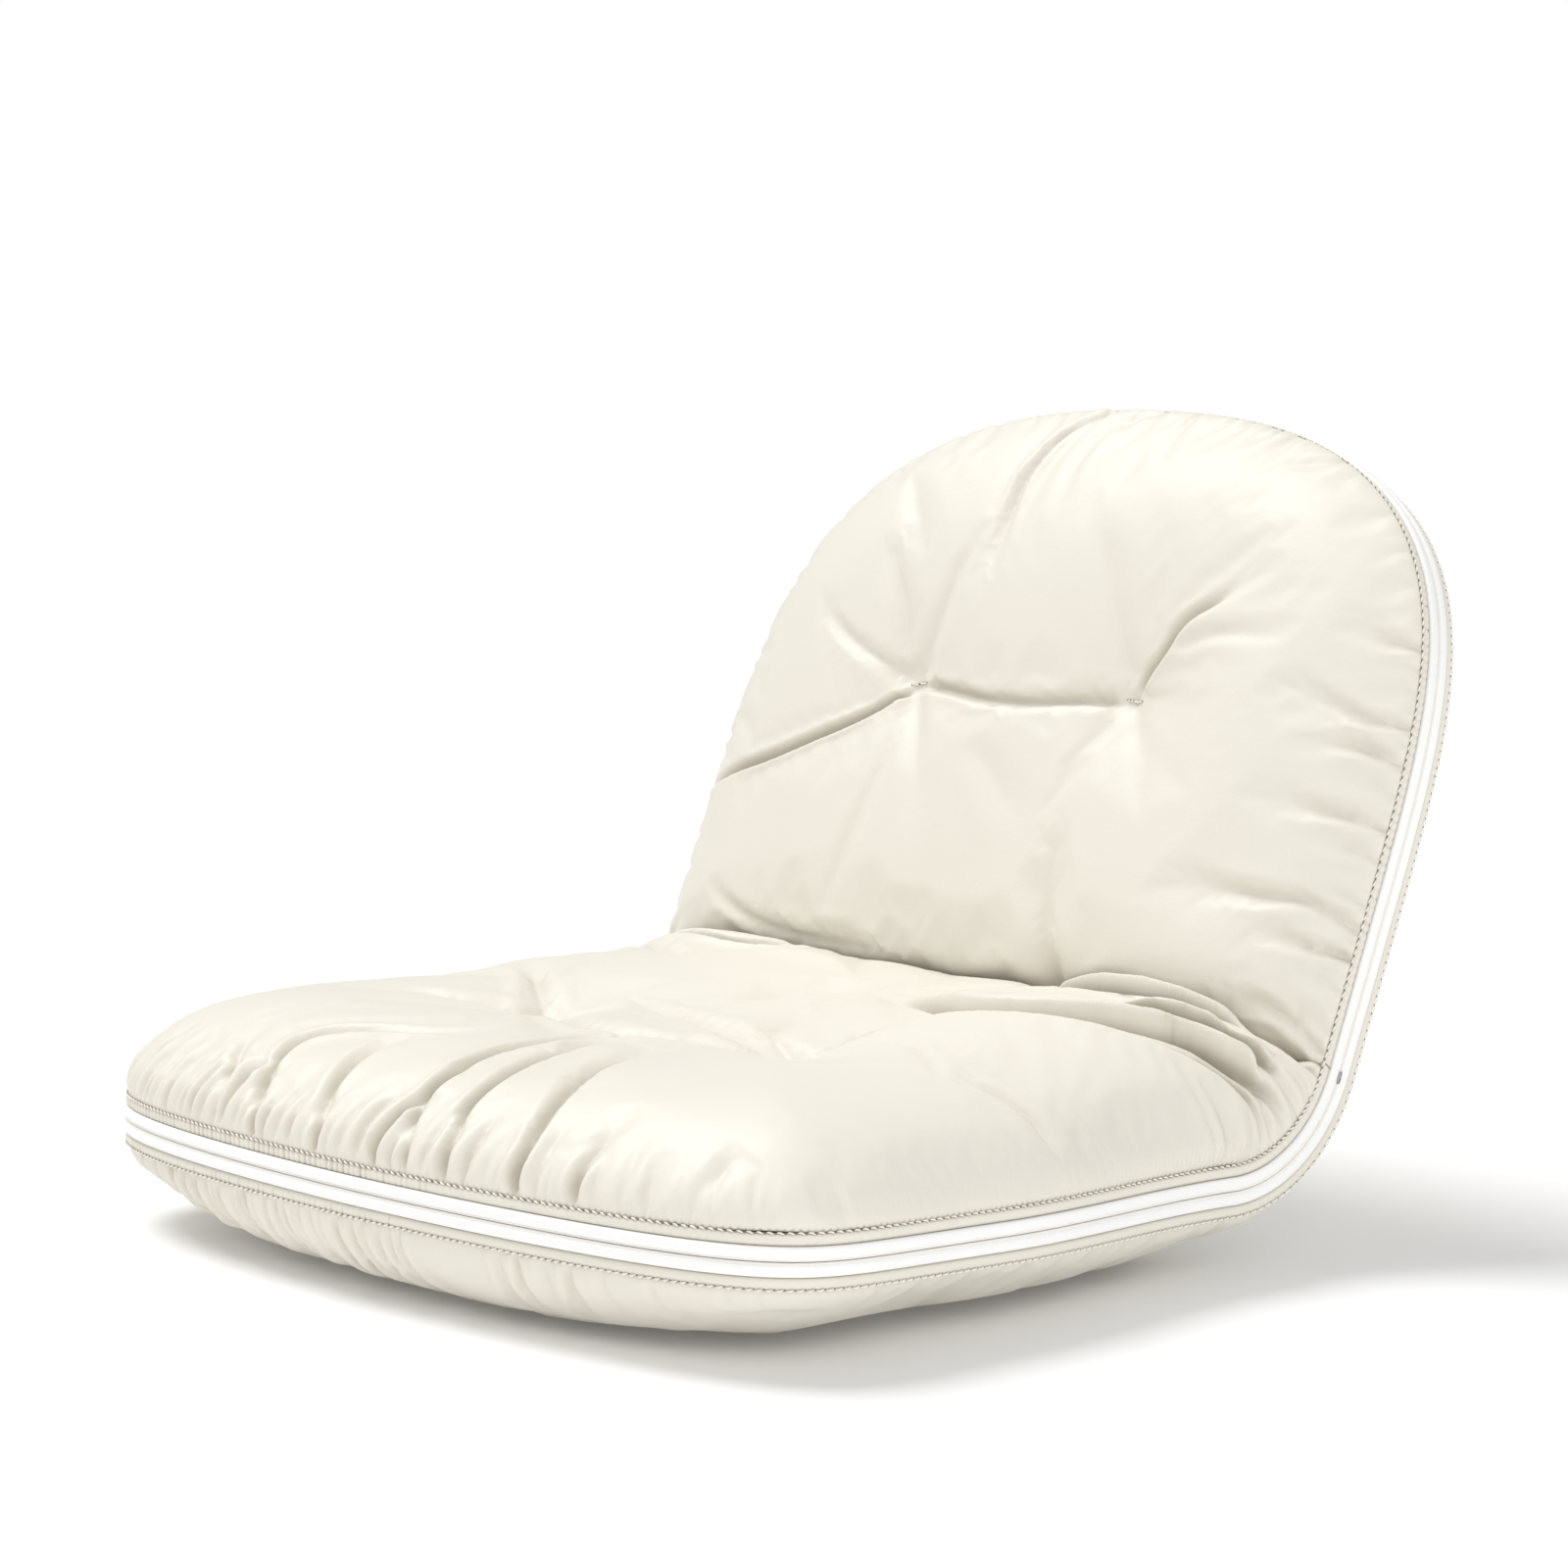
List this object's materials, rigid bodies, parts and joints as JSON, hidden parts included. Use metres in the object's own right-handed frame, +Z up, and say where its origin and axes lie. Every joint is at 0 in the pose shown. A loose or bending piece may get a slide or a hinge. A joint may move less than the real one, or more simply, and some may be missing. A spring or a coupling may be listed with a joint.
{
  "type": "chair seat pad",
  "caption": "One-piece tufted seat-and-back chair pad: bent shell, foam and fibre under quilted covers, edged by a pair of welts with a coil zip between them.",
  "frame": {"origin": "centre of the flat underside of the seat, where the pad rests", "axes": "+Z up, +X to the sitter's left as the pad is seen from the front (right in a front view), the pad's front faces -Y, X = 0 is the mirror plane"},
  "size_m": [0.5062, 0.535, 0.3913],
  "materials": {
    "cream_leather": "satin, soft fine grain",
    "white_welt": "smooth satin white",
    "thread": "twisted polyester thread",
    "nylon": "moulded matte",
    "zip_tape": "woven tape",
    "zip_coil": "polyester monofilament",
    "zinc": "zinc, satin",
    "wadding": "fluffy polyester fibre",
    "foam": "open-cell polyurethane foam",
    "plywood": "sanded birch plywood"
  },
  "bodies": {
    "pad": {"seat_cover": "cream_leather", "back_cover": "cream_leather", "outer_cover": "cream_leather", "upper_welt": "white_welt", "lower_welt": "white_welt", "upper_topstitch": "thread", "lower_topstitch": "thread", "seat_tuft_thread_left": "thread", "seat_tuft_thread_right": "thread", "back_tuft_thread_left": "thread", "back_tuft_thread_right": "thread", "seat_tuft_anchor_left": "nylon", "seat_tuft_anchor_right": "nylon", "back_tuft_anchor_left": "nylon", "back_tuft_anchor_right": "nylon", "upper_zip_tape": "zip_tape", "lower_zip_tape": "zip_tape", "crease_listing": "zip_tape", "upper_zip_coil": "zip_coil", "lower_zip_coil": "zip_coil", "zip_stop": "zinc", "tee_nut_1": "zinc", "tee_nut_2": "zinc", "tee_nut_3": "zinc", "tee_nut_4": "zinc", "seat_fibre_wrap": "wadding", "back_fibre_wrap": "wadding", "seat_foam": "foam", "back_foam": "foam", "under_foam": "foam", "rear_foam": "foam", "plywood_shell": "plywood"},
    "slider": {"zip_slider": "zinc"}
  },
  "joints": [
    {"name": "zip_travel", "type": "hinge", "parent": "pad", "child": "slider", "pos_m": [0.232, 0.1352, 0.11838], "axis": [1, 0, 0], "range_deg": [-60, 1]}
  ]
}
